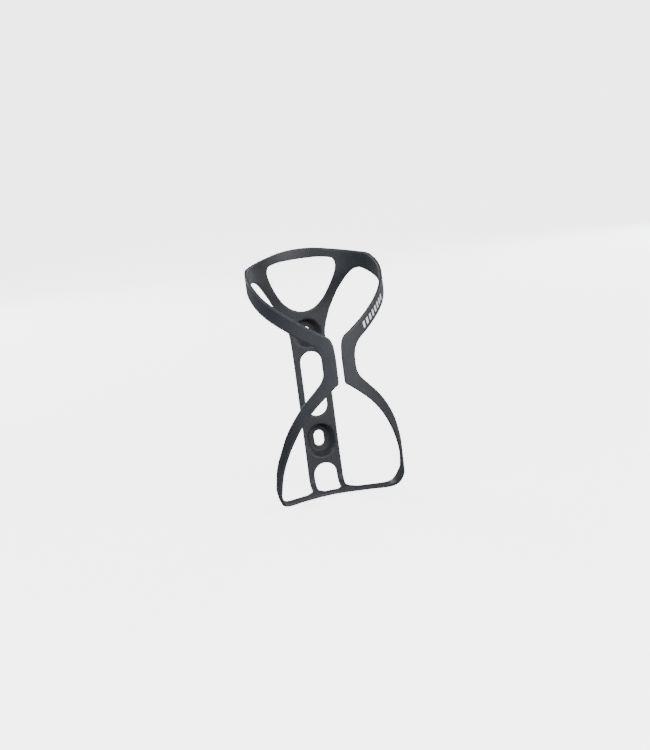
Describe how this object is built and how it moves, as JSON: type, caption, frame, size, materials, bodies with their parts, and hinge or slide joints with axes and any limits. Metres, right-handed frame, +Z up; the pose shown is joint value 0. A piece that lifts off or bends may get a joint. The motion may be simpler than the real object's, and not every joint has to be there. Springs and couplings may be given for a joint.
{
  "type": "water bottle cage",
  "caption": "Moulded composite bicycle bottle cage: flat spine with dished bolt seats, spread yoke and crown, sprung arms with a narrow waist, and a base strap.",
  "frame": {"origin": "midway between the two frame bolts, on the plane of the bolt seats' backs that touches the bicycle frame", "axes": "+Z up along the bottle towards its mouth, +Y from the bottle into the bicycle frame, +X to the right of someone facing the cage's open front"},
  "size_m": [0.073, 0.0805, 0.1419],
  "materials": {
    "spine_laminate": "satin charcoal unidirectional carbon laminate",
    "seat_laminate": "matte charcoal moulded laminate",
    "crown_laminate": "satin charcoal unidirectional carbon laminate",
    "arm_laminate": "satin charcoal unidirectional carbon laminate, slightly blue"
  },
  "bodies": {
    "cage_body": {"spine_plate": "spine_laminate", "upper_bolt_seat": "seat_laminate", "lower_bolt_seat": "seat_laminate", "left_yoke_leg": "spine_laminate", "right_yoke_leg": "spine_laminate", "crown_band": "crown_laminate", "left_foot": "spine_laminate", "right_foot": "spine_laminate", "base_strap": "arm_laminate"},
    "left_arm_body": {"left_arm": "arm_laminate"},
    "right_arm_body": {"right_arm": "arm_laminate"}
  },
  "joints": [
    {"name": "left_arm_flex", "type": "hinge", "parent": "cage_body", "child": "left_arm_body", "pos_m": [-0.0353, -0.0485, -0.046], "axis": [0, -0.0798, -0.9968], "range_deg": [-1, 5], "stiffness_Nm_per_rad": 2},
    {"name": "right_arm_flex", "type": "hinge", "parent": "cage_body", "child": "right_arm_body", "pos_m": [0.0353, -0.0485, -0.046], "axis": [0, 0.0798, 0.9968], "range_deg": [-1, 5], "stiffness_Nm_per_rad": 2}
  ]
}
